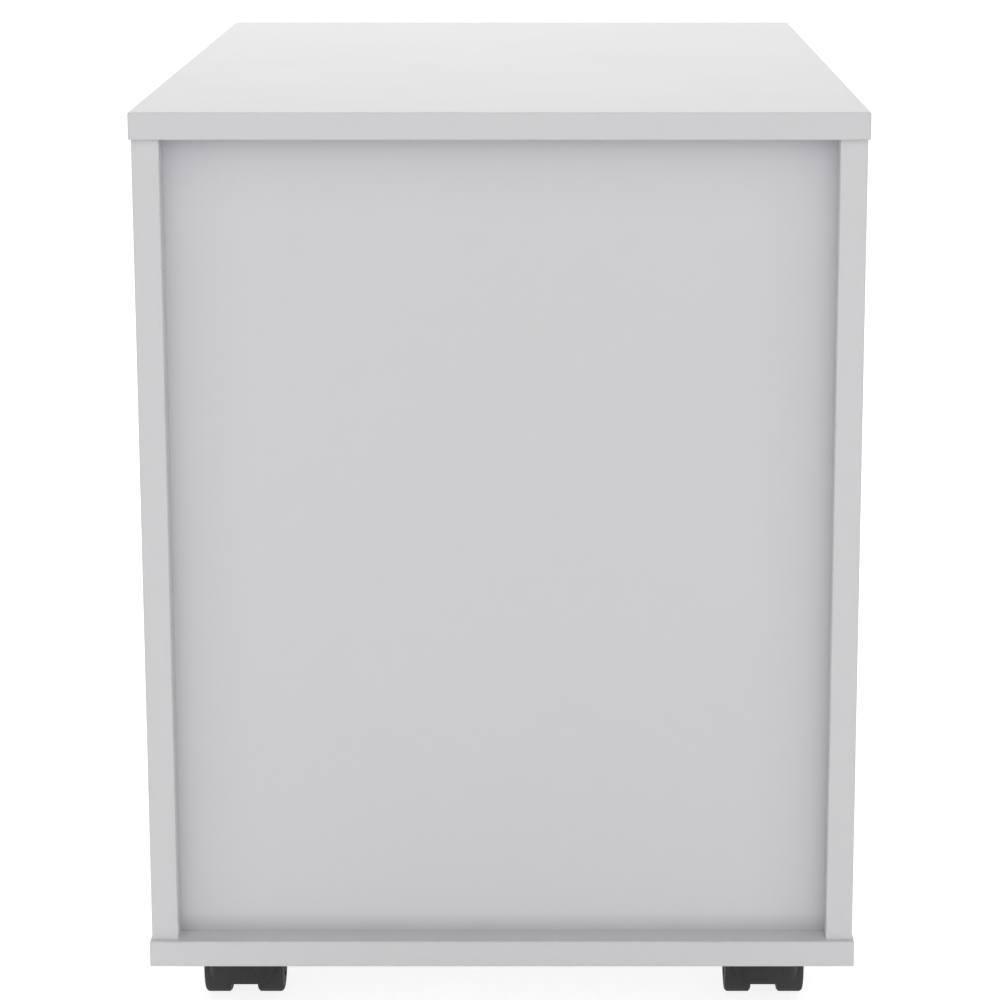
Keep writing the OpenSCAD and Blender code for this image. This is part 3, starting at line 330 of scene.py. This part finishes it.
def hardboard(node):
    """Thin fibreboard, lacquered white, with fine lines from the coating roller and lilac painted shade
    near its edges.
    """
    finish = Finish("hardboard_" + node, Specular_IOR_Level=BOARD_GLOSS)
    _, across, along = board_gaps(finish, node)
    raw = finish.fall(finish.least(across, along), *RAW_END)
    lines = finish.noise(1.1 * MM, roughness=0.6, stretch=(1, 1, 90))
    dull, clear = grey(0.980 * BOARD_WHITE, warmth=-0.020), grey(BOARD_WHITE, warmth=-0.024)
    colour = finish.blend(finish.noise(120 * MM, detail=3.0), dull, clear)
    colour = finish.coat(colour, grey(0.90 * BOARD_WHITE), lines, strength=0.08)

    # Colours of painted shade: dark grey at the foot of a standing sheet, lilac along the edges.
    foot_shade_colour, film = grey(0.10), (0.06, 0.03, 0.17, 1)
    uneven = finish.noise(30 * MM, detail=4.0, roughness=0.6)
    low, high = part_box(node)
    if high[2] - low[2] > high[1] - low[1]:
        # A sheet that stands has dark painted shade at its foot, and the lilac painted shade at its other
        # edges only.
        height = finish.axes(finish.place)[2]
        along = finish.minus(high[2], height)
        foot_shade = finish.fall(finish.minus(height, low[2]), *FOOT_SHADE_FADE)
        colour = finish.coat(colour, foot_shade_colour, foot_shade, strength=finish.mix(uneven, 0.19, 0.31))
    # Lilac painted shade, strongest at each edge and fading inwards.
    edge_shade_strength = finish.mix(uneven, 0.050, 0.085)
    for gap in (across, along):
        colour = finish.coat(colour, film, finish.fall(gap, *EDGE_SHADE_FADE), edge_shade_strength)
    dark_fibre, light_fibre = (0.30, 0.18, 0.09, 1), (0.45, 0.29, 0.15, 1)
    colour = finish.blend(raw, colour, finish.blend(finish.noise(0.6 * MM), dark_fibre, light_fibre))

    rough = finish.mix(finish.noise(50 * MM, detail=4.0), 0.42, 0.55)
    peel = finish.plus(finish.noise(0.8 * MM, detail=1.0), finish.times(lines, 0.8))
    return finish.done(colour, rough, finish.bump(peel, 0.010 * MM))


# Metal, nylon and wood

def epoxy_steel():
    """Runner sheet with a white powder coat, rubbed grey where rollers run and edges touch."""
    finish = Finish("epoxy_steel", Specular_IOR_Level=0.5)
    rub = finish.patches(1.2 * MM, 0.60, 0.74, detail=3.0, roughness=0.6, stretch=(1, 60, 1))
    scraped = finish.patches(5 * MM, 0.46, 0.66, detail=4.0, roughness=0.65)
    bare = finish.times(finish.edges(0.5 * MM), scraped)
    dull, clear = grey(0.70, warmth=-0.004), grey(0.74, warmth=-0.008)
    colour = finish.blend(finish.noise(40 * MM), dull, clear)
    colour = finish.coat(colour, grey(0.34), rub, strength=0.30)
    colour = finish.coat(colour, grey(0.30), bare, strength=0.75)
    coated = finish.mix(finish.noise(15 * MM, detail=3.0), 0.30, 0.42)
    rough = finish.mix(finish.most(rub, bare), coated, 0.52)
    peel = finish.noise(1.4 * MM, detail=1.5)
    return finish.done(colour, rough, finish.bump(peel, 0.030 * MM))


def nylon():
    """Natural nylon of the runner rollers, with a grey film of wear."""
    finish = Finish("nylon", Specular_IOR_Level=0.5, Subsurface_Weight=0.15, Subsurface_Scale=2 * MM)
    film = finish.patches(4 * MM, 0.50, 0.75, detail=4.0, roughness=0.65)
    dark, light = (0.66, 0.65, 0.60, 1), (0.72, 0.71, 0.67, 1)
    colour = finish.blend(finish.noise(9 * MM), dark, light)
    colour = finish.coat(colour, (0.36, 0.35, 0.33, 1), film, strength=0.35)
    rough = finish.mix(film, 0.34, 0.55)
    return finish.done(colour, rough, finish.bump(finish.noise(0.5 * MM), 0.010 * MM))


def zinc():
    """Bright zinc plate: cloudy, faintly blue and yellow by turns, dulled in spots."""
    finish = Finish("zinc", Metallic=1.0)
    spangle = finish.cell_tones(1.6 * MM)
    dull = finish.patches(3 * MM, 0.52, 0.70, detail=5.0, roughness=0.7)
    bluish, yellowish = (0.55, 0.57, 0.61, 1), (0.66, 0.65, 0.60, 1)
    colour = finish.blend(finish.noise(6 * MM, detail=3.0), bluish, yellowish)
    colour = finish.coat(colour, (0.42, 0.43, 0.45, 1), spangle, strength=0.25)
    colour = finish.coat(colour, grey(0.34), dull, strength=0.4)
    rough = finish.mix(dull, finish.mix(spangle, 0.26, 0.38), 0.58)
    return finish.done(colour, rough, finish.bump(finish.noise(0.35 * MM, detail=3.0), 0.012 * MM))


def satin_nickel():
    """Nickel that is brushed along X, with the dull marks of hands."""
    finish = Finish("satin_nickel", Metallic=1.0, Anisotropic=0.35)
    along_x = (40, 1, 1)
    brush = finish.noise(0.16 * MM, detail=3.0, roughness=0.6, stretch=along_x)
    streak = finish.patches(0.7 * MM, 0.32, 0.68, detail=3.0, roughness=0.65, stretch=along_x)
    touch = finish.patches(22 * MM, 0.45, 0.75, detail=4.0, roughness=0.6)
    dark, light = (0.43, 0.42, 0.40, 1), (0.56, 0.55, 0.53, 1)
    colour = finish.blend(streak, dark, light)
    colour = finish.coat(colour, (0.31, 0.30, 0.29, 1), finish.rise(brush, 0.5, 0.7), strength=0.35)
    colour = finish.coat(colour, (0.38, 0.36, 0.33, 1), touch, strength=0.20)
    rough = finish.mix(touch, finish.mix(brush, 0.20, 0.36), 0.42)
    return finish.done(colour, rough, finish.bump(brush, 0.012 * MM))


def beech():
    """Beech dowel wood: fine grain along Z with short dark flecks."""
    finish = Finish("beech", Specular_IOR_Level=0.35)
    grain = finish.noise(0.9 * MM, detail=4.0, roughness=0.6, stretch=(1, 1, 14))
    fleck = finish.patches(0.5 * MM, 0.66, 0.74, detail=1.0, stretch=(1, 1, 6))
    dark, light = (0.50, 0.30, 0.15, 1), (0.68, 0.47, 0.27, 1)
    colour = finish.blend(grain, dark, light)
    colour = finish.coat(colour, (0.30, 0.16, 0.07, 1), fleck, strength=0.6)
    return finish.done(colour, finish.mix(grain, 0.62, 0.50), finish.bump(grain, 0.05 * MM))


# Black plastic

def moulding(finish, dark, light, grain, scuffing):
    """Colour, roughness and normal of moulded plastic: eroded texture, pale scuffs and worn edges."""
    erosion = finish.noise(grain, detail=3.0, roughness=0.6)
    texture = finish.plus(erosion, finish.times(finish.cells(1.6 * grain), 0.5))
    scuff = finish.patches(5 * MM, 0.60, 0.78, detail=6.0, roughness=0.72)
    knocks = finish.patches(2.5 * MM, 0.35, 0.65, detail=4.0, roughness=0.65)
    worn = finish.times(finish.edges(0.7 * MM), knocks)
    colour = finish.blend(finish.noise(9 * MM, detail=3.0), dark, light)
    colour = finish.coat(colour, grey(0.35 * dark[0]), finish.fall(texture, 0.45, 0.85), strength=0.28)
    colour = finish.coat(colour, grey(0.14), scuff, strength=scuffing)
    colour = finish.coat(colour, grey(0.17), worn, strength=0.35)
    rough = finish.mix(finish.most(scuff, worn), finish.mix(texture, 0.46, 0.62), 0.74)
    return colour, rough, finish.bump(texture, 0.09 * MM)


def rail_plastic():
    """Black plastic of the file rails."""
    finish = Finish("black_rail_plastic", Specular_IOR_Level=RAIL_GLOSS)
    dark, light = grey(0.018, warmth=-0.04), grey(0.026, warmth=-0.04)
    return finish.done(*moulding(finish, dark, light, grain=0.5 * MM, scuffing=0.3))


def hood_plastic():
    """Dull black plastic of the caster hoods."""
    finish = Finish("hood_plastic", Specular_IOR_Level=CASTER_GLOSS)
    dark, light = grey(0.050, warmth=-0.02), grey(0.061, warmth=-0.02)
    return finish.done(*moulding(finish, dark, light, grain=0.4 * MM, scuffing=0.3))


def wheel_plastic(node):
    """Dull black plastic of one wheel, with a dusty tread."""
    finish = Finish("wheel_plastic_" + node, Specular_IOR_Level=CASTER_GLOSS)
    dark, light = grey(0.050, warmth=-0.02), grey(0.060, warmth=-0.02)
    colour, rough, normal = moulding(finish, dark, light, grain=0.5 * MM, scuffing=0.35)
    low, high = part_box(node)
    middle = tuple((start + end) / 2 for start, end in zip(low, high))
    radius = (high[2] - low[2]) / 2
    spoke = finish.vector("MULTIPLY", finish.vector("SUBTRACT", finish.place, middle), (0, 1, 1))
    from_axle = finish.vector("LENGTH", spoke, output="Value")
    tread = finish.rise(from_axle, radius - TREAD_START, radius - TREAD_FULL)
    uneven = finish.noise(3 * MM, detail=5.0, roughness=0.7)
    dust = finish.times(tread, finish.mix(uneven, 0.10, 0.55))
    colour = finish.coat(colour, grey(0.16, warmth=0.08), dust, strength=0.5)
    return finish.done(colour, finish.mix(dust, rough, 0.85), normal)


# Dressing of the solids

def dress(solid, material):
    """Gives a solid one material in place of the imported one."""
    for slot in solid.material_slots:
        slot.material = material


def ease(solid):
    """Rounds the sharp edges of a solid."""
    weld = solid.modifiers.new("weld", "WELD")
    weld.merge_threshold = WELD
    flat = solid.modifiers.new("flat", "DECIMATE")
    flat.decimate_type = "DISSOLVE"
    flat.angle_limit = FLAT
    bevel = solid.modifiers.new("ease", "BEVEL")
    bevel.width = EASE_WIDTH
    bevel.segments = EASE_STEPS
    bevel.limit_method = "ANGLE"
    bevel.angle_limit = SHARP
    bevel.harden_normals = True


# Studio

def make_camera():
    """The photograph's viewpoint."""
    data = bpy.data.cameras.new("camera")
    data.lens = CAMERA_LENS
    data.shift_x, data.shift_y = CAMERA_SHIFT
    camera = bpy.data.objects.new("camera", data)
    camera.location = CAMERA_PLACE
    camera.rotation_euler = (math.pi / 2 - CAMERA_PITCH, 0, math.pi)
    bpy.context.scene.collection.objects.link(camera)
    bpy.context.scene.camera = camera


def make_sky():
    """Soft white light from all round; seen directly it is plain white."""
    world = bpy.data.worlds.new("studio")
    bpy.context.scene.world = world
    graph = empty_graph(world)
    x, y, _ = graph.axes(graph.node("TexCoord", {}, output="Generated"))
    level = graph.math("MULTIPLY_ADD", graph.times(y, y), SKY_ENDS, SKY_LEVEL)
    level = graph.math("MULTIPLY_ADD", x, SKY_SIDE, level)
    soft = graph.node("Background", {"Color": WHITE, "Strength": level})
    plain = graph.node("Background", {"Color": WHITE})
    graph.end("OutputWorld", graph.node("MixShader", {0: graph.seen_directly(), 1: soft, 2: plain}))


def make_soft_box():
    """A large square lamp that the camera doesn't see."""
    lamp = bpy.data.lights.new("overhead", "AREA")
    lamp.energy = LAMP_POWER
    lamp.color = LAMP_TINT
    lamp.size = LAMP_SIZE
    box = bpy.data.objects.new("overhead", lamp)
    box.location = LAMP_PLACE
    box.rotation_euler = (LAMP_TARGET - LAMP_PLACE).to_track_quat("-Z", "Y").to_euler()
    box.visible_camera = False
    bpy.context.scene.collection.objects.link(box)


def make_floor():
    """A plain pale floor that shows white and keeps the shadow of the cabinet."""
    bpy.ops.mesh.primitive_plane_add(size=FLOOR_SIZE, location=(0, 0, -FLOOR_DROP))
    floor = bpy.context.object
    floor.name = "floor"
    material = bpy.data.materials.new("pale_floor")
    graph = empty_graph(material)
    plain = graph.node("BsdfDiffuse", {"Color": FLOOR_TONE})
    catch = graph.node("BsdfDiffuse", {"Color": FLOOR_CATCH})
    glow = graph.node("Emission", {"Strength": FLOOR_GLOW})
    shown = graph.node("AddShader", {0: catch, 1: glow})
    graph.end("OutputMaterial", graph.node("MixShader", {0: graph.seen_directly(), 1: plain, 2: shown}))
    floor.data.materials.append(material)


make_camera()
make_sky()
make_soft_box()
make_floor()
bpy.context.scene.view_settings.view_transform = "Standard"

# Finishes by the record's material slots. Boards, sheets and wheels have one for each node, because their
# layers, wear and painted shade follow the node's own edges.
FINISH_OF_NODE = {"white_melamine": melamine, "white_hardboard": hardboard, "wheel_plastic": wheel_plastic}
SHARED_FINISH = {
    "white_epoxy_steel": epoxy_steel(),
    "nylon": nylon(),
    "zinc_steel": zinc(),
    "satin_nickel": satin_nickel(),
    "beech": beech(),
    "black_rail_plastic": rail_plastic(),
    "hood_plastic": hood_plastic(),
}
for name, solid in nodes.items():
    packed = solid.material_slots[0].name.split(".")[0]
    if packed in FINISH_OF_NODE:
        dress(solid, FINISH_OF_NODE[packed](name))
    else:
        dress(solid, SHARED_FINISH[packed])
    if name.endswith(EASED):
        ease(solid)
